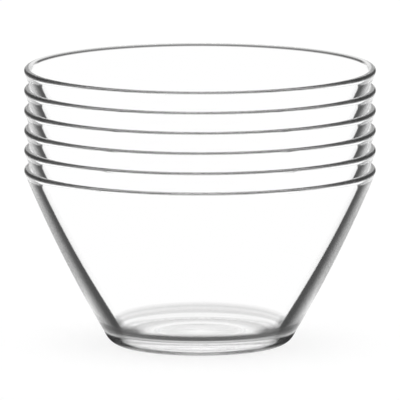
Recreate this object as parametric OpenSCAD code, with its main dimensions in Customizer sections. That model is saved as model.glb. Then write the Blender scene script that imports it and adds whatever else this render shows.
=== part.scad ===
// A nest of six clear pressed-glass bowls, one inside the other.
// All six have the same turned section. It is worked out once from the sizes
// below and revolved, and the step from one bowl to the next follows from how
// low the next one can sink before the two walls come close. Millimetres, +Z
// up, with the origin at the centre of the plane the bottom bowl stands on.

/* [Bowl] */
// Outside diameter of the rim at its widest
rim_d = 120; // [105:1:140]
// Height of one bowl, from its bearing ring to the top of its rim
bowl_h = 61; // [52:1:66]
// Lean of the outer wall from upright where it meets the rim, in degrees
rim_lean = 22.5; // [19:0.5:26]
// Lean of the outer wall from upright where it meets the heel, in degrees
heel_lean = 30.5; // [28:0.5:34]
// Radius of the rounded heel between the bearing ring and the wall
heel_r = 6.4; // [3.5:0.1:7]

/* [Glass] */
// Thickness of the wall where it meets the rim
wall_rim_t = 2.5; // [2:0.1:3]
// Thickness of the wall where it meets the round corner inside
wall_heel_t = 3.25; // [2.8:0.05:4]
// How far the fire-polished rim rounds over beyond the end of the wall
rim_round = 1.7; // [1:0.1:2.5]
// Thickness of the floor, from the bearing plane to the inside
floor_t = 5.8; // [4:0.1:7]
// Radius of the round corner inside, between the wall and the floor
corner_r = 5; // [3:0.5:8]

/* [Underside] */
// Width of the flat bearing ring
bearing_w = 2.4; // [1.5:0.1:4]
// Depth of the hollow inside the bearing ring
hollow_depth = 0.9; // [0.5:0.1:1.5]
// Width of the slope from the bearing ring up into the hollow
hollow_slope = 1.6; // [1:0.1:3]
// Distance from the bearing ring in to the plain raised ring
ring_inset = 8.1; // [4:0.1:9]
// Width of the plain raised ring
ring_w = 2.2; // [1.6:0.1:3]
// Height of the plain raised ring above the hollow
ring_h = 0.4; // [0.2:0.05:0.5]
// Diameter of the shallow dimple at the centre
dimple_d = 4; // [3:0.5:6]
// Depth of the dimple at the centre
dimple_depth = 0.3; // [0.1:0.05:0.6]

/* [Nest] */
// Clearance between one bowl and the next, square to the wall
nest_gap = 0.15; // [0.1:0.01:0.5]

/* [Hidden] */

glass_colour = [0.86, 0.9, 0.9, 0.5];
turn_fn = 128;
wall_steps = 14;
corner_steps = 8;
rim_steps = 16;
detail_steps = 6;

// A unit vector square to a wall that leans outward by this angle, and one up along it.
function square_to(lean) = [cos(lean), -sin(lean)];
function up_along(lean) = [sin(lean), cos(lean)];

// A step from 0 to 1 that starts and ends level.
function ease(t) = t * t * (3 - 2 * t);

// Points along an arc between two directions from its centre.
function arc(centre, r, from, to, steps) =
    [for (i = [0 : steps])
        let (a = from + (to - from) * i / steps)
        centre + r * [cos(a), sin(a)]];

// The rim is half an oval whose ends run on into the two faces of the wall.
// Its reach and its rise are measured from the middle of the oval.
rim_reach = norm([wall_rim_t / 2 * cos(rim_lean), rim_round * sin(rim_lean)]);
rim_rise = norm([wall_rim_t / 2 * sin(rim_lean), rim_round * cos(rim_lean)]);
rim_c = [rim_d / 2 - rim_reach, bowl_h - rim_rise];
wall_top = rim_c + wall_rim_t / 2 * square_to(rim_lean);

// The outer wall is one shallow arc that turns from the lean at the heel to
// the lean at the rim. Its chord leans halfway between the two, which gives
// the foot's radius, and its length gives the arc's radius.
wall_foot_z = heel_r - heel_r * sin(heel_lean);
mid_lean = (heel_lean + rim_lean) / 2;
chord = (wall_top[1] - wall_foot_z) / cos(mid_lean);
bow_r = chord / (2 * sin((heel_lean - rim_lean) / 2));
bow_c = wall_top - bow_r * square_to(rim_lean);
foot_r = wall_top[0] - chord * sin(mid_lean) - heel_r * cos(heel_lean);
heel_c = [foot_r, heel_r];

// The corner inside touches the floor and the inner face of the wall.
corner_reach = bow_r - wall_heel_t - corner_r;
corner_z = floor_t + corner_r;
corner_c = [bow_c[0] + sqrt(pow(corner_reach, 2) - pow(bow_c[1] - corner_z, 2)), corner_z];
corner_lean = asin((bow_c[1] - corner_z) / corner_reach);

// Radii on the underside, from the bearing ring inward.
bearing_in_r = foot_r - bearing_w;
ring_out_r = bearing_in_r - ring_inset;
dimple_r = dimple_d / 2;

dimple = [for (i = [0 : detail_steps])
    let (t = i / detail_steps)
    [dimple_r * t, hollow_depth + dimple_depth * ease(1 - t)]];

plain_ring = [for (i = [0 : 2 * detail_steps])
    let (t = i / detail_steps)
    [ring_out_r - ring_w + ring_w * t / 2, hollow_depth - ring_h * ease(min(t, 2 - t))]];

slope = [for (i = [0 : detail_steps])
    let (t = i / detail_steps)
    [bearing_in_r - hollow_slope * (1 - t), hollow_depth * ease(1 - t)]];

heel = arc(heel_c, heel_r, -90, -heel_lean, corner_steps);

outer_wall = arc(bow_c, bow_r, -heel_lean, -rim_lean, wall_steps);

rim = [for (i = [1 : rim_steps])
    let (a = 180 * i / rim_steps)
    rim_c + wall_rim_t / 2 * cos(a) * square_to(rim_lean) + rim_round * sin(a) * up_along(rim_lean)];

function wall_t(t) = wall_rim_t + (wall_heel_t - wall_rim_t) * ease(t);

inner_wall = [for (i = [1 : wall_steps])
    let (t = i / wall_steps, lean = rim_lean + (corner_lean - rim_lean) * t)
    bow_c + (bow_r - wall_t(t)) * square_to(lean)];

corner = arc(corner_c, corner_r, -corner_lean, -90, corner_steps);

section = concat(dimple, plain_ring, slope, heel, outer_wall, rim, inner_wall, corner, [[0, floor_t]]);

// Height of the lowest part of a bowl that stands over radius r, less the clearance.
wall_foot_r = foot_r + (heel_r + nest_gap) * cos(heel_lean);
function underneath(r) =
    r <= foot_r ? -nest_gap
    : r <= wall_foot_r ? heel_r - sqrt(pow(heel_r + nest_gap, 2) - pow(r - foot_r, 2))
    : bow_c[1] - sqrt(pow(bow_r + nest_gap, 2) - pow(r - bow_c[0], 2));

// The next bowl sinks until the clearance is used up somewhere on the inside.
nest_step = max([for (p = concat(inner_wall, corner)) p[1] - underneath(p[0])]);

// One bowl of the nest, counted up from the bottom one.
module bowl(place) {
    color(glass_colour)
    translate([0, 0, place * nest_step])
    rotate_extrude($fn = turn_fn)
    polygon(section);
}

module bottom_bowl() bowl(0);
module second_bowl() bowl(1);
module third_bowl() bowl(2);
module fourth_bowl() bowl(3);
module fifth_bowl() bowl(4);
module top_bowl() bowl(5);

bottom_bowl();
second_bowl();
third_bowl();
fourth_bowl();
fifth_bowl();
top_bowl();
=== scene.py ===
# %% [markdown]
# A nest of six clear glass bowls, one inside the other, on a plain white table.
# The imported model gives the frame: six bodies, one for each bowl, and the solids
# that the simulator uses. Everything is made in metres, in that same frame, so a
# piece is put where the solid is and never fitted by eye.

# %% Load the frame
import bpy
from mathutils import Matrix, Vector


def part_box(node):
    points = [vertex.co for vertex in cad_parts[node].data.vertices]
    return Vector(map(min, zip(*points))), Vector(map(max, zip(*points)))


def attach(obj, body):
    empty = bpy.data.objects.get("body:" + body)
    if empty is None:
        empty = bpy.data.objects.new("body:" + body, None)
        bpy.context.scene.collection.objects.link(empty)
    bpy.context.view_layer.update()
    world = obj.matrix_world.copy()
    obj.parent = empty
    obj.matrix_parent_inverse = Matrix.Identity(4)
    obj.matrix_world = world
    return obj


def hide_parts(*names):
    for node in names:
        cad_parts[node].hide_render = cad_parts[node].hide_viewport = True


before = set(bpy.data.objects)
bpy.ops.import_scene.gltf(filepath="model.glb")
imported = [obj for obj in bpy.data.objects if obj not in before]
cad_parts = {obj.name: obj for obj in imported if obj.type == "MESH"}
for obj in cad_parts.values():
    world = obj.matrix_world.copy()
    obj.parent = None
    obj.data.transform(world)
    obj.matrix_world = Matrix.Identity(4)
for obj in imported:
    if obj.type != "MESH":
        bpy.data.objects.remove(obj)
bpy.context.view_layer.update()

# %% Libraries and the bodies, from the bottom of the nest up
from math import asin, cos, hypot, pi, radians, sin, sqrt

import bpy
from mathutils import Vector

BOWL_NAMES = ["bottom_bowl", "second_bowl", "third_bowl", "fourth_bowl", "fifth_bowl", "top_bowl"]

# %% [markdown]
# The bowl is pressed glass. A plunger forms the inside and a mould the outside,
# and a flame then melts the rim round, so every bowl of the set has the same
# section: a flat bearing ring, a hollow inside it, a rounded heel, a slightly
# bowed wall that gets thinner upward, a rounded rim and a thick floor. The
# section is written as lengths and angles, as on a mould drawing. A traced
# outline would give the same picture once, but nobody could change a size in it.

# %% Sizes on the drawing
MM = 0.001
rim_d = 120 * MM          # outside diameter of the rim
bowl_h = 61 * MM          # height of one bowl
rim_lean = radians(22.5)  # lean of the wall from upright under the rim
heel_lean = radians(30.5)  # lean of the wall from upright at the heel
heel_r = 6.4 * MM         # radius of the heel between bearing ring and wall
wall_rim_t = 2.5 * MM     # thickness of the wall under the rim
wall_heel_t = 3.25 * MM   # thickness of the wall above the round corner inside
rim_round = 1.7 * MM      # how far the rim rounds over beyond the wall
floor_t = 5.8 * MM        # thickness of the floor, from the bearing plane
corner_r = 5 * MM         # radius of the round corner inside
bearing_w = 2.4 * MM      # width of the flat bearing ring
hollow_depth = 0.9 * MM   # depth of the hollow inside it
hollow_slope = 1.6 * MM   # width of the slope up into the hollow
ring_inset = 8.1 * MM     # from the bearing ring in to the plain raised ring
ring_w = 2.2 * MM         # width of that ring
ring_h = 0.4 * MM         # its height above the hollow
dimple_r = 2 * MM         # radius of the dimple at the centre
dimple_depth = 0.3 * MM
print("one bowl:", round(rim_d / MM), "mm wide and", round(bowl_h / MM), "mm high")

# %% Steps along each part of the section
WALL_STEPS = 28
CORNER_STEPS = 14
HEEL_STEPS = 16
RIM_STEPS = 28
DETAIL_STEPS = 8   # for the slope, the dimple and each flank of the raised ring
TURN_STEPS = 256   # round the axis
MERGE = 1e-6       # metres, points closer than this are one
print("steps round the axis:", TURN_STEPS)


# %% [markdown]
# Every curve of the section is an arc or an easing from one level to another.
# Points here are (radius, height). The outer wall is one shallow arc that turns
# from the lean at the heel to the lean at the rim. Its chord leans halfway
# between the two, and that settles the radius of the foot.

# %% Helpers for the section
def square_to(lean):
    """Unit step square to a wall that leans outward by this angle."""
    return Vector((cos(lean), -sin(lean)))


def up_along(lean):
    return Vector((sin(lean), cos(lean)))


def ease(t):
    """From 0 to 1, level at both ends."""
    return t * t * (3 - 2 * t)


def arc(centre, radius, start, end, steps):
    turns = [start + (end - start) * i / steps for i in range(steps + 1)]
    return [centre + radius * Vector((cos(a), sin(a))) for a in turns]


def shares(steps):
    return [i / steps for i in range(steps + 1)]


# %% Where the arcs are centred
rim_reach = hypot(wall_rim_t / 2 * cos(rim_lean), rim_round * sin(rim_lean))
rim_rise = hypot(wall_rim_t / 2 * sin(rim_lean), rim_round * cos(rim_lean))
rim_centre = Vector((rim_d / 2 - rim_reach, bowl_h - rim_rise))
wall_top = rim_centre + wall_rim_t / 2 * square_to(rim_lean)

wall_foot_z = heel_r - heel_r * sin(heel_lean)
mid_lean = (heel_lean + rim_lean) / 2
chord = (wall_top.y - wall_foot_z) / cos(mid_lean)
bow_r = chord / (2 * sin((heel_lean - rim_lean) / 2))
bow_centre = wall_top - bow_r * square_to(rim_lean)
foot_r = wall_top.x - chord * sin(mid_lean) - heel_r * cos(heel_lean)
heel_centre = Vector((foot_r, heel_r))

corner_reach = bow_r - wall_heel_t - corner_r
corner_drop = bow_centre.y - floor_t - corner_r
corner_centre = Vector((bow_centre.x + sqrt(corner_reach ** 2 - corner_drop ** 2),
                        floor_t + corner_r))
corner_lean = asin(corner_drop / corner_reach)
print("foot radius", round(foot_r / MM, 3), "mm, wall arc radius", round(bow_r / MM, 1), "mm")


# %% The whole section, from the centre of the underside round to the centre of the floor
def section_parts():
    """Each part of the section as a list of points, in the order they follow each other."""
    bearing_in = foot_r - bearing_w
    ring_out = bearing_in - ring_inset
    return {
        "dimple": [Vector((dimple_r * t, hollow_depth + dimple_depth * ease(1 - t)))
                   for t in shares(DETAIL_STEPS)],
        "plain_ring": [Vector((ring_out - ring_w + ring_w * t,
                               hollow_depth - ring_h * ease(1 - abs(2 * t - 1))))
                       for t in shares(2 * DETAIL_STEPS)],
        "slope": [Vector((bearing_in - hollow_slope * (1 - t), hollow_depth * ease(1 - t)))
                  for t in shares(DETAIL_STEPS)],
        "heel": arc(heel_centre, heel_r, -pi / 2, -heel_lean, HEEL_STEPS),
        "outer_wall": arc(bow_centre, bow_r, -heel_lean, -rim_lean, WALL_STEPS),
        "rim": [rim_centre + wall_rim_t / 2 * cos(pi * t) * square_to(rim_lean)
                + rim_round * sin(pi * t) * up_along(rim_lean) for t in shares(RIM_STEPS)],
        "inner_wall": [bow_centre + (bow_r - wall_rim_t - (wall_heel_t - wall_rim_t) * ease(t))
                       * square_to(rim_lean + (corner_lean - rim_lean) * t)
                       for t in shares(WALL_STEPS)],
        "corner": arc(corner_centre, corner_r, -corner_lean, -pi / 2, CORNER_STEPS),
        "floor": [Vector((0, floor_t))],
    }


section, last_point = [], {}
for part, points in section_parts().items():
    for p in points:
        if not section or (p - section[-1]).length > MERGE:
            section.append(p)
    last_point[part] = len(section) - 1
print(len(section), "points on the section, widest", round(max(p.x for p in section) / MM, 2), "mm")

# %% How far along the section each point lies, from 0 to 1
along = [0.0]
for a, b in zip(section, section[1:]):
    along.append(along[-1] + (b - a).length)
along = [d / along[-1] for d in along]
end_of = {part: along[i] for part, i in last_point.items()}
print({part: round(d, 3) for part, d in end_of.items()})


# %% [markdown]
# A bowl is a turned shape, so it could be a screw modifier, a subdivided cylinder
# pushed into shape, or a section spun about the axis. Spin is used: the section
# is drawn point by point by extruding one vertex, which keeps every curve where
# the drawing has it, and one spin then makes the whole closed skin. The first
# and last turn meet, and the poles close, when doubles are merged.

# %% Spin one bowl
def deselect_all():
    bpy.ops.object.select_all(action="DESELECT")


def spun_bowl(name, points):
    """One closed skin turned about Z from (radius, height) points."""
    deselect_all()
    bpy.ops.mesh.primitive_plane_add(size=2 * rim_d, location=(0, 0, 0))
    bowl = bpy.context.object
    bowl.name = bowl.data.name = name
    bpy.ops.object.mode_set(mode="EDIT")
    bpy.ops.mesh.select_all(action="SELECT")
    bpy.ops.mesh.merge(type="CENTER")
    first = points[0]
    bpy.ops.transform.translate(value=(first.x, 0, first.y))
    for a, b in zip(points, points[1:]):
        bpy.ops.mesh.extrude_region_move(
            TRANSFORM_OT_translate={"value": (b.x - a.x, 0, b.y - a.y)})
    bpy.ops.mesh.select_all(action="SELECT")
    bpy.ops.mesh.spin(steps=TURN_STEPS, angle=2 * pi, center=(0, 0, 0), axis=(0, 0, 1))
    bpy.ops.mesh.select_all(action="SELECT")
    bpy.ops.mesh.remove_doubles(threshold=MERGE)
    bpy.ops.mesh.normals_make_consistent(inside=False)
    bpy.ops.object.mode_set(mode="OBJECT")
    bpy.ops.object.shade_smooth()
    return bowl


bottom = spun_bowl("glass_bottom_bowl", section)
print("one bowl:", len(bottom.data.vertices), "vertices,", len(bottom.data.polygons), "faces")

# %% [markdown]
# Rim, wall, heel and base will each need their own look, and a material can only
# tell them apart if the mesh says which is which. Faces could be split into slots,
# but that would draw seams on glass that has none. A number on every point that
# runs from 0 at the centre of the underside to 1 at the centre of the floor
# changes smoothly instead. It is written once, before the bowl is copied.

# %% Write the place along the section on every point
mark = bottom.data.attributes.new("along", "FLOAT", "POINT")
for vertex in bottom.data.vertices:
    here = Vector((hypot(vertex.co.x, vertex.co.y), vertex.co.z))
    nearest = min(range(len(section)), key=lambda n: (section[n] - here).length_squared)
    mark.data[vertex.index].value = along[nearest]
print("places written:", len(mark.data))

# %% [markdown]
# The other five bowls come out of the same mould. Each is a copy with its own
# mesh, lifted by the step from rim to rim that the frame gives, and each rides on
# its own body, because on a table every one of them lifts out by itself.

# %% Copy it up the nest
bowls = [bottom]
for name in BOWL_NAMES[1:]:
    deselect_all()
    bottom.select_set(True)
    bpy.context.view_layer.objects.active = bottom
    bpy.ops.object.duplicate(linked=False)
    copy = bpy.context.object
    copy.name = copy.data.name = "glass_" + name
    copy.location.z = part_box(name)[0][2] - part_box("bottom_bowl")[0][2]
    bpy.ops.object.transform_apply(location=True, rotation=False, scale=False)
    bowls.append(copy)

nest_step = (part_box("top_bowl")[0][2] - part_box("bottom_bowl")[0][2]) / (len(bowls) - 1)
print("step from rim to rim:", round(nest_step / MM, 3), "mm")

# %% Ride and replace
for bowl, name in zip(bowls, BOWL_NAMES):
    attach(bowl, name)
    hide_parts(name)
print("bowls on their bodies:", [bowl.name for bowl in bowls])

# %% [markdown]
# Clear glass has no colour of its own. In an evenly white room it would hardly
# show. What draws it in a studio picture is the dark room beyond the white
# background: where a face turns away from the eye, the glass bends or mirrors so
# far that this dark reaches the eye. Lamps and black cards beside the bowl could
# make that, but only for one camera. Here that dark is painted into the glass
# instead, as painted shade by how far a face turns away (Layer Weight, Facing), so
# it is drawn alike from every side. How strong the painted shade is differs from
# rim to wall to heel, which is why every point carries its place along the
# section. The glass is then a list of small rules, and each rule is a curve over
# the place times a curve over the turn.

# %% Helper: one step of arithmetic in a shader
def calc(tree, operation, *values):
    node = tree.nodes.new("ShaderNodeMath")
    node.operation = operation
    for socket, value in zip(node.inputs, values):
        if isinstance(value, (int, float)):
            socket.default_value = value
        else:
            tree.links.new(value, socket)
    return node.outputs["Value"]


# %% Helper: a value looked up on a curve of straight lines
def curve(tree, value, points):
    """The result at this value, from (value, result) points."""
    low, high = points[0][0], points[-1][0]
    spread = tree.nodes.new("ShaderNodeMapRange")
    spread.inputs["From Min"].default_value = low
    spread.inputs["From Max"].default_value = high
    tree.links.new(value, spread.inputs["Value"])
    ramp = tree.nodes.new("ShaderNodeValToRGB")
    stops = ramp.color_ramp.elements
    for stop, (at, level) in zip(list(stops), (points[0], points[-1])):
        stop.position, stop.color = (at - low) / (high - low), (level, level, level, 1)
    for at, level in points[1:-1]:
        stops.new((at - low) / (high - low)).color = (level, level, level, 1)
    tree.links.new(spread.outputs["Result"], ramp.inputs["Fac"])
    return ramp.outputs["Color"]


# %% Helper: places on the section, by the name of the part
def between(part, share):
    """Place along the section at this share of a part, which may run past its ends."""
    names = list(end_of)
    start, end = end_of[names[names.index(part) - 1]], end_of[part]
    return start + share * (end - start)


def span(part, *points):
    return [(between(part, share), level) for share, level in points]


print("the heel starts at", round(between("heel", 0), 3),
      "and the rim at", round(between("rim", 0), 3))


# %% Helper: one rule for the painted shade, and the strongest of several
def rule(tree, where, turn, by_place, by_turn):
    """Painted shade that needs both the right place on the bowl and the right turn of the face."""
    return calc(tree, "MULTIPLY", curve(tree, where, by_place), curve(tree, turn, by_turn))


def strongest(tree, rules):
    greatest = rules[0]
    for other in rules[1:]:
        greatest = calc(tree, "MAXIMUM", greatest, other)
    return greatest


# %% [markdown]
# The first rules are for the face that the eye meets first. Painted shade darkens
# the wall close to the outline of the bowl, where it is seen along its length, and
# fades again at the very edge, where it mirrors the white room. One curve over
# the turn can't draw that, because the wall is bowed and its edge comes at a
# larger turn near the rim than near the foot. So the turn is first measured from
# a start that moves up the wall with the place.

# %% Painted shade at the edge of the wall, at the face the eye meets first
EDGE_TURN = 0.53     # turn at which the edge starts at the foot of the wall
EDGE_SPREAD = 0.51   # how fast that start grows along the section


def painted_wall_edge(tree, where, turn):
    foot, top = end_of["heel"], end_of["outer_wall"]
    edge_from = calc(tree, "MULTIPLY_ADD", where, EDGE_SPREAD, EDGE_TURN - EDGE_SPREAD * foot)
    near_edge = curve(tree, calc(tree, "SUBTRACT", turn, edge_from),
                      [(-0.08, 0), (-0.03, 0.15), (-0.012, 0.4), (0, 0.8), (0.02, 1)])
    strength = rule(tree, where, turn,
                    [(foot - 0.004, 0), (foot + 0.002, 0.3), (foot + 0.2, 0.5),
                     (top, 0.73), (top + 0.004, 0)],
                    [(0.66, 1), (0.76, 0.6), (0.85, 0.3), (0.95, 0.1), (1, 0)])
    return calc(tree, "MULTIPLY", near_edge, strength)


print("under the rim the edge starts at a turn of",
      round(EDGE_TURN + EDGE_SPREAD * (end_of["outer_wall"] - end_of["heel"]), 3))


# %% [markdown]
# On the rim, painted shade draws a faint bead outside, a crest, and a thin line
# inside, and it is darkest on the rounded heel, because that bends the light most.
# A thin line of painted shade runs round the foot where the heel turns under, and
# painted shade greys the inside of the wall a little where it turns away.

# %% How much painted shade the face the eye meets first gets
def painted_shade_at_first_face(tree, where, turn):
    wall = painted_wall_edge(tree, where, turn)
    bead = rule(tree, where, turn,
                span("rim", (0.11, 0), (0.28, 1), (0.97, 1), (1.09, 0)),
                [(0.76, 0), (0.84, 0.22), (0.92, 0.22), (1, 0.05)])
    crest = rule(tree, where, turn,
                 span("rim", (0.18, 0), (0.24, 1), (0.4, 1), (0.46, 0)),
                 [(0.46, 0), (0.53, 0.45), (0.6, 0.6), (0.75, 0.75), (1, 0.8)])
    inner_line = rule(tree, where, turn,
                      span("rim", (0.66, 0), (0.84, 0.88), (0.9, 0.82), (0.985, 0)),
                      [(0.05, 0.75), (0.12, 0.9), (0.5, 1), (0.68, 1), (0.74, 0.3), (0.8, 0)])
    heel = rule(tree, where, turn,
                span("heel", (0.24, 0.5), (0.6, 0.45), (0.74, 0.7), (0.83, 1), (1.16, 1), (1.3, 0)),
                [(0.5, 0), (0.57, 0.35), (0.61, 0.88), (0.95, 0.93), (1, 0.7)])
    foot_line = rule(tree, where, turn,
                     span("heel", (0.55, 0), (0.7, 0.5), (0.78, 0.85), (0.92, 0.1), (0.96, 0)),
                     [(0.42, 0), (0.48, 0.8), (0.6, 0.9), (1, 1)])
    inside_wall = rule(tree, where, turn,
                       [(0.56, 0), (0.62, 1),
                        (between("corner", 0), 1), (between("corner", 0.4), 0)],
                       [(0.7, 0), (0.8, 0.35), (0.9, 0.35), (1, 0.15)])
    return strongest(tree, [wall, bead, crest, inner_line, inside_wall, heel, foot_line])


# %% [markdown]
# The next rules are for the face behind it, met from inside the glass. Past the
# angle of total reflection this face is a mirror, and in a studio it would show
# the dark room beyond the background. The room here is white all round, so the
# dark band along each side of the wall is painted shade. The band starts sharply
# at that angle and fades toward the outline.

# %% The painted dark band of the wall, from inside the glass
DOWN_FROM, DOWN_BY = 0.55, 0.26        # place near the rim, and the way from there to low down
BAND_FROM, BAND_FROM_BEND = 0.2452, -0.0225   # turn at which it starts, and the change low down
BAND_TO, BAND_TO_DRIFT = 0.279, 0.028         # turn at which it ends, and the change low down
BEND_POWER = 2.5                       # how late on the way down the start bends


def painted_wall_band(tree, where, turn):
    top, foot = end_of["rim"], end_of["inner_wall"]
    down = calc(tree, "DIVIDE", calc(tree, "SUBTRACT", where, DOWN_FROM), DOWN_BY)
    bend = calc(tree, "POWER", calc(tree, "MAXIMUM", down, 0), BEND_POWER)
    band_from = calc(tree, "MULTIPLY_ADD", bend, BAND_FROM_BEND, BAND_FROM)
    band_to = calc(tree, "MULTIPLY_ADD", down, BAND_TO_DRIFT, BAND_TO)
    share = calc(tree, "DIVIDE", calc(tree, "SUBTRACT", turn, band_from),
                 calc(tree, "SUBTRACT", band_to, band_from))
    across = curve(tree, share,
                   [(-0.04, 0), (0.03, 1), (0.3, 1), (0.5, 0.8), (0.8, 0.36), (1, 0.2)])
    on_wall = curve(tree, where,
                    [(top + 0.0028, 0), (top + 0.0058, 1), (foot - 0.005, 1), (foot - 0.001, 0)])
    return calc(tree, "MULTIPLY", across, on_wall)


print("the band is seen at turns of", BAND_FROM, "to", BAND_TO, "near the rim")


# %% [markdown]
# The other inside rules are for the parts beside the wall. Painted shade darkens
# the crest of the rim from within, where it stands for the mirrored dark, and the
# wall just under it. Low down, painted shade on the round corner inside and the
# last of the wall above it makes the dark wedge at each end of the base.

# %% How much painted shade the second face gets, from inside the glass
def painted_shade_at_second_face(tree, where, turn):
    crest = rule(tree, where, turn,
                 span("rim", (0.52, 0), (0.6, 1), (1.02, 1), (1.06, 0)),
                 [(0.14, 0), (0.2, 0.42), (0.24, 0.7), (0.3, 0.45), (1, 0.4)])
    under_crest = rule(tree, where, turn,
                       span("rim", (1.02, 0), (1.06, 1), (1.34, 1), (1.5, 0)),
                       [(0.26, 0), (0.3, 0.7), (0.36, 0.86), (0.5, 0.96), (1, 1)])
    corner = rule(tree, where, turn,
                  span("corner", (-0.16, 0), (-0.04, 0.36), (0.1, 0.9),
                       (0.3, 1), (0.9, 1), (1.1, 0)),
                  [(0.06, 0.5), (0.1, 0.93), (0.36, 0.9), (0.5, 0.2), (1, 0.15)])
    wall_foot = rule(tree, where, turn,
                     span("inner_wall", (0.94, 0), (0.98, 0.95), (1.01, 1), (1.04, 0)),
                     [(0.15, 0), (0.18, 0.75), (0.24, 1)])
    above_wall_foot = rule(tree, where, turn,
                           span("inner_wall", (0.88, 0), (0.93, 0.55), (1, 0.8), (1.01, 0)),
                           [(0.195, 0), (0.215, 0.92), (0.24, 1)])
    return strongest(tree, [painted_wall_band(tree, where, turn), crest, under_crest, corner,
                            wall_foot, above_wall_foot])


# %% [markdown]
# Looking down into a bowl, the eye meets the inside first and the outside from
# within the glass. There painted shade draws a dark ring at the rounded heel and
# thin ones at the bearing ring and the raised ring, and greys the wall as it turns
# away.

# %% How much painted shade the outside of the glass gets, when it is seen from within the bowl
# painted dark lines at the raised ring, the slope and the heel
PAINTED_RELIEF_SHADE = ([(0, 0.12), (0.003, 0.02)]
                + span("plain_ring", (-0.06, 0.02), (0, 0.2), (0.06, 0.02), (0.83, 0.02),
                       (0.88, 0.35), (0.92, 0.12), (0.96, 0.35), (1, 0.02))
                + span("slope", (0.76, 0.02), (0.82, 0.3), (0.9, 0.4), (0.98, 0.25))
                + span("heel", (0.03, 0.05), (0.24, 0.06), (0.3, 0.3), (0.36, 0)))


def painted_shade_seen_from_above(tree, where, turn):
    wall = rule(tree, where, turn,
                span("outer_wall", (0, 0), (0.03, 1), (0.4, 1), (0.74, 0)),
                [(0.08, 0), (0.16, 0.16), (0.22, 0.34), (0.256, 0.6), (0.4, 0.5), (0.7, 0)])
    heel = rule(tree, where, turn,
                span("heel", (0.28, 0), (0.4, 0.7), (0.8, 1), (1, 1), (1.1, 0)),
                [(0.02, 0.04), (0.12, 0.12), (0.2, 0.35), (0.25, 0.8), (0.4, 0.9), (1, 0.9)])
    relief = curve(tree, where, PAINTED_RELIEF_SHADE)
    return strongest(tree, [wall, heel, relief])


# %% [markdown]
# Low down, the eye looks through the front wall at the far side of the bottom
# bowl's base. Its round corner is drawn as a double grey arc of painted shade, and
# the rings under the floor as finer painted ones inside it.

# %% Painted shade on the far side of the base, seen through the front wall
# painted grey rings under the floor of the far side
PAINTED_UNDERSIDE_RINGS = ([(0, 0)]
                   + span("plain_ring", (0.1, 0.1), (0.5, 0.33), (0.75, 0.3), (0.9, 0.15), (1, 0.1))
                   + span("slope", (0.25, 0.3), (0.5, 0.45), (0.8, 0.55))
                   + span("heel", (0.2, 0.45), (0.4, 0.3), (0.55, 0)))
# the painted double grey arc of the far corner
PAINTED_FAR_CORNER_ARC = [(0.824, 0), (0.832, 0.29), (0.835, 0.2), (0.84, 0.31), (0.842, 0.28), (0.845, 0.04),
              (0.85, 0.1), (0.858, 0.08), (0.862, 0)]
CORNER_DRIFT = 0.012   # how far the arc drifts along the section as the face turns away


def far_corner_painted_shade(tree, where, turn):
    """The place is read with the drift of the arc taken off."""
    return curve(tree, calc(tree, "MULTIPLY_ADD", turn, -CORNER_DRIFT, where), PAINTED_FAR_CORNER_ARC)


def underside_painted_shade(tree, where, turn):
    return rule(tree, where, turn, PAINTED_UNDERSIDE_RINGS, [(0.05, 0.2), (0.19, 1), (1, 1)])


print("the far arc lies between", PAINTED_FAR_CORNER_ARC[0][0], "and", PAINTED_FAR_CORNER_ARC[-1][0], "on the section")


# %% [markdown]
# A ray that is totally reflected in the crest of the rim runs down inside the
# wall and never comes out, and one that is reflected under the floor does so in
# the base. Both would be blacker than on a real bowl, whose skin is not so
# perfect, so a share of these rays is let straight through.

# %% How much light slips out where it would be trapped
def trapped_light_out(tree, where, turn):
    crest = rule(tree, where, turn,
                 span("rim", (0.5, 0), (0.6, 1), (1.03, 1), (1.09, 0)),
                 [(0.25, 0), (0.26, 0.16), (0.31, 0.18), (0.36, 0.35),
                  (0.46, 0.3), (0.6, 0.1), (1, 0)])
    under_crest = rule(tree, where, turn,
                       span("rim", (1.03, 0), (1.09, 1), (1.3, 1), (1.4, 0)),
                       [(0.25, 0), (0.255, 1), (0.292, 1), (0.33, 0.27), (0.36, 0.07), (0.45, 0)])
    outer_end = rule(tree, where, turn,
                     span("rim", (-0.2, 0), (-0.1, 1), (0.3, 1), (0.4, 0)),
                     [(0.25, 0), (0.258, 0.85), (1, 0.85)])
    floor = rule(tree, where, turn,
                 span("floor", (-0.1, 0), (0.04, 1), (1, 1)),
                 [(0.7, 0), (0.8, 0.25), (1, 0.25)])
    return strongest(tree, [crest, under_crest, outer_end, floor])


# %% [markdown]
# A nest of real bowls shows every wall through every other, which muddles into
# grey. The picture to match shows the lower bowl clear, so a bowl that sits in
# the nest is left out of what is seen through another one. Only that view of it
# is left out: seen directly it is whole, and once it is lifted it is whole in
# every view, apart from the top of its far wall, which is left out in all six.

# %% Helpers: mix two shaders, and let a ray straight through
def mixed(tree, share, first, second):
    node = tree.nodes.new("ShaderNodeMixShader")
    for socket, link in zip(node.inputs, (share, first, second)):
        tree.links.new(link, socket)
    return node.outputs["Shader"]


def straight_through(tree):
    return tree.nodes.new("ShaderNodeBsdfTransparent").outputs["BSDF"]


# %% What is left out behind another bowl
UPPER_MIDDLE, UPPER_REACH = 0.525, 0.2   # the rim, and this far down the wall on both its faces
SEATED = 0.5 * MM                        # a bowl lifted less than this is at rest


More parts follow.
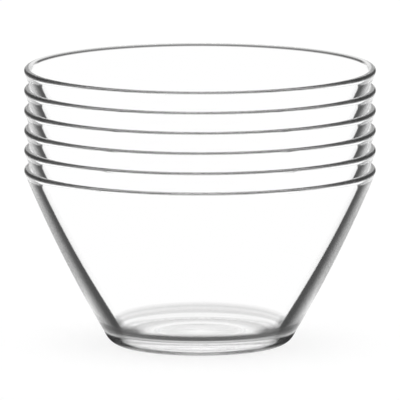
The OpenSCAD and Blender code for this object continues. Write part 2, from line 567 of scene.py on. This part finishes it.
def unseen_when_nested(tree, surface, path, where, nested):
    """Transmission Depth is even while a ray is in the air, and odd while it is in the glass."""
    upper_part = calc(tree, "COMPARE", where, UPPER_MIDDLE, UPPER_REACH)
    if nested:
        height = tree.nodes.new("ShaderNodeSeparateXYZ")
        place = tree.nodes.new("ShaderNodeObjectInfo")
        tree.links.new(place.outputs["Location"], height.inputs["Vector"])
        at_rest = calc(tree, "LESS_THAN", height.outputs["Z"], SEATED)
        upper_part = calc(tree, "MAXIMUM", upper_part, at_rest)
    crossed = path.outputs["Transmission Depth"]
    in_air = calc(tree, "LESS_THAN", calc(tree, "MODULO", crossed, 2), 0.5)
    seen_through = calc(tree, "GREATER_THAN", path.outputs["Ray Depth"], 0.5)
    hidden = calc(tree, "MULTIPLY", upper_part, calc(tree, "MULTIPLY", in_air, seen_through))
    return mixed(tree, hidden, surface, straight_through(tree))


# %% [markdown]
# Each rule belongs to one face on a ray's way: the first it meets, the back of
# the same wall, the far side of the bowl, and the back of that. Two things tell
# them apart: how many faces the ray has met (Ray Depth) and whether it is inside
# the glass (Backfacing).

# %% Which face a ray is at
def faces_on_the_way(tree, inside, path):
    met = path.outputs["Ray Depth"]
    outside = calc(tree, "SUBTRACT", 1, inside)
    first = calc(tree, "MULTIPLY", outside, calc(tree, "LESS_THAN", met, 0.5))
    second = calc(tree, "MULTIPLY", inside, calc(tree, "LESS_THAN", met, 1.5))
    third = calc(tree, "MULTIPLY", outside, calc(tree, "COMPARE", met, 2, 0.5))
    fourth = calc(tree, "MULTIPLY", inside, calc(tree, "COMPARE", met, 2.5, 0.9))
    return first, second, third, fourth


# %% The whole painted shade
def whole_painted_shade(tree, where, turn, faces):
    first, second, third, fourth = faces
    behind = strongest(tree, [painted_shade_at_second_face(tree, where, turn),
                              painted_shade_seen_from_above(tree, where, turn)])
    return strongest(tree, [
        calc(tree, "MULTIPLY", first, painted_shade_at_first_face(tree, where, turn)),
        calc(tree, "MULTIPLY", second, behind),
        calc(tree, "MULTIPLY", third, far_corner_painted_shade(tree, where, turn)),
        calc(tree, "MULTIPLY", fourth, underside_painted_shade(tree, where, turn))])


# %% [markdown]
# Now the glass itself: a smooth Principled shader with full transmission and the
# index of ordinary glass. The painted shade is mixed in as plain black, then the
# trapped light is let out, and last comes what is left out behind another bowl.

# %% The clear glass, with the painted shade mixed in
GLASS_INDEX = 1.5


def clear_glass(name, nested):
    glass = bpy.data.materials.new(name)
    glass.use_nodes = True
    tree = glass.node_tree
    shader = tree.nodes["Principled BSDF"]
    shader.inputs["Base Color"].default_value = (1, 1, 1, 1)
    shader.inputs["Roughness"].default_value = 0.0
    shader.inputs["IOR"].default_value = GLASS_INDEX
    shader.inputs["Transmission Weight"].default_value = 1.0

    layer = tree.nodes.new("ShaderNodeLayerWeight")
    layer.inputs["Blend"].default_value = 0.5
    turn = layer.outputs["Facing"]
    mark = tree.nodes.new("ShaderNodeAttribute")
    mark.attribute_name = "along"
    where = mark.outputs["Fac"]
    inside = tree.nodes.new("ShaderNodeNewGeometry").outputs["Backfacing"]
    path = tree.nodes.new("ShaderNodeLightPath")
    faces = faces_on_the_way(tree, inside, path)

    # plain black: the painted shade that the rules mix into the glass
    dark = tree.nodes.new("ShaderNodeBsdfDiffuse")
    dark.inputs["Color"].default_value = (0, 0, 0, 1)
    surface = mixed(tree, whole_painted_shade(tree, where, turn, faces),
                    shader.outputs["BSDF"], dark.outputs["BSDF"])
    slip = calc(tree, "MULTIPLY", faces[1], trapped_light_out(tree, where, turn))
    surface = mixed(tree, slip, surface, straight_through(tree))
    surface = unseen_when_nested(tree, surface, path, where, nested)
    tree.links.new(surface, tree.nodes["Material Output"].inputs["Surface"])
    return glass


# %% Put it on the bowls
lowest, nested = clear_glass("clear_glass", False), clear_glass("clear_glass_nested", True)
for bowl in bowls:
    bowl.data.materials.clear()
    bowl.data.materials.append(lowest if bowl is bottom else nested)
print("nodes in the glass:", len(nested.node_tree.nodes))


# %% [markdown]
# The table is one large white plane. A white colour alone would render pale grey
# toward the back, because a diffuse plane only returns what falls on it, so part
# of its white is a glow that the camera sees, and the rest is colour, which keeps
# the soft shadow under the bowls. To a ray that comes through or off the glass it
# is plain white, as the world is, or the glass would show a grey table edge.

# %% Table
TABLE_SIDE = 8   # metres
deselect_all()
bpy.ops.mesh.primitive_plane_add(size=TABLE_SIDE, location=(0, 0, 0))
table = bpy.context.object
table.name = "table"
print("table:", [round(side, 2) for side in table.dimensions], "m")

# %% Its white
TABLE_WHITE, TABLE_GLOW = 0.32, 0.7   # together a little over 1, which is white
white = bpy.data.materials.new("white_table")
white.use_nodes = True
tree = white.node_tree
tree.nodes.clear()
colour = tree.nodes.new("ShaderNodeBsdfDiffuse")
colour.inputs["Color"].default_value = (TABLE_WHITE, TABLE_WHITE, TABLE_WHITE, 1)
glow = tree.nodes.new("ShaderNodeEmission")
glow.inputs["Strength"].default_value = TABLE_GLOW
both = tree.nodes.new("ShaderNodeAddShader")
tree.links.new(colour.outputs["BSDF"], both.inputs[0])
tree.links.new(glow.outputs["Emission"], both.inputs[1])
path = tree.nodes.new("ShaderNodeLightPath")
by_way_of_glass = calc(tree, "MAXIMUM", path.outputs["Is Glossy Ray"],
                       path.outputs["Is Transmission Ray"])
plain_white = tree.nodes.new("ShaderNodeEmission")
look = mixed(tree, by_way_of_glass, both.outputs["Shader"], plain_white.outputs["Emission"])
tree.links.new(look, tree.nodes.new("ShaderNodeOutputMaterial").inputs["Surface"])
table.data.materials.append(white)
print("nodes in the table's white:", len(tree.nodes))

# %% [markdown]
# The light is the softest there is: a world that is equally white all round, at a
# strength of 1, where a colour renders as it is written. It has no lamp to give a
# glare spot, and the picture to match shows none.

# %% Soft white light from all round
world = bpy.data.worlds.new("white_room")
bpy.context.scene.world = world
world.use_nodes = True
background = world.node_tree.nodes["Background"]
background.inputs["Color"].default_value = (1, 1, 1, 1)
background.inputs["Strength"].default_value = 1.0
print("strength of the white:", background.inputs["Strength"].default_value)

# %% [markdown]
# The six rims in the picture are equally wide and equally far apart from the top
# one to the bottom one, so the camera stood far off with a long lens. The height
# of the rim's oval then gives how steeply it looks down, and the lens follows
# from how much of the frame the bowls fill. A camera close by would draw the
# upper rims wider and further apart. One still further off looks no better, and
# views from other sides, which keep its lens, would lie too far away to be drawn.

# %% Camera
elevation = radians(8.818)
distance = 5.2             # metres from the point it is aimed at
aim_z = 0.0307             # height of that point
look_up = radians(0.2049)  # sets the nest a little below the middle of the frame
lens, sensor = 1369.4, 36  # millimetres
drawn_to = 20              # metres, well beyond the nest
camera_data = bpy.data.cameras.new("camera")
camera_data.lens = lens
camera_data.sensor_width = sensor
camera_data.clip_end = drawn_to
camera = bpy.data.objects.new("camera", camera_data)
bpy.context.scene.collection.objects.link(camera)
camera.location = (0, -distance * cos(elevation), aim_z + distance * sin(elevation))
camera.rotation_euler = (pi / 2 - elevation + look_up, 0, 0)
bpy.context.scene.camera = camera
print("frame at the nest:", round(distance * sensor / lens / MM, 1), "mm wide")

# %% [markdown]
# A ray crosses six bowls, each with two faces, and may be mirrored inside a wall
# several times, so the paths are allowed to be long. A face that is left out also
# counts as a step, and gets its own allowance.

# %% Long paths through the glass
scene = bpy.context.scene
scene.view_settings.view_transform = "Standard"
scene.cycles.max_bounces = 32
scene.cycles.transmission_bounces = 32
scene.cycles.transparent_max_bounces = 64
scene.cycles.glossy_bounces = 16
print("longest path:", scene.cycles.max_bounces, "steps")
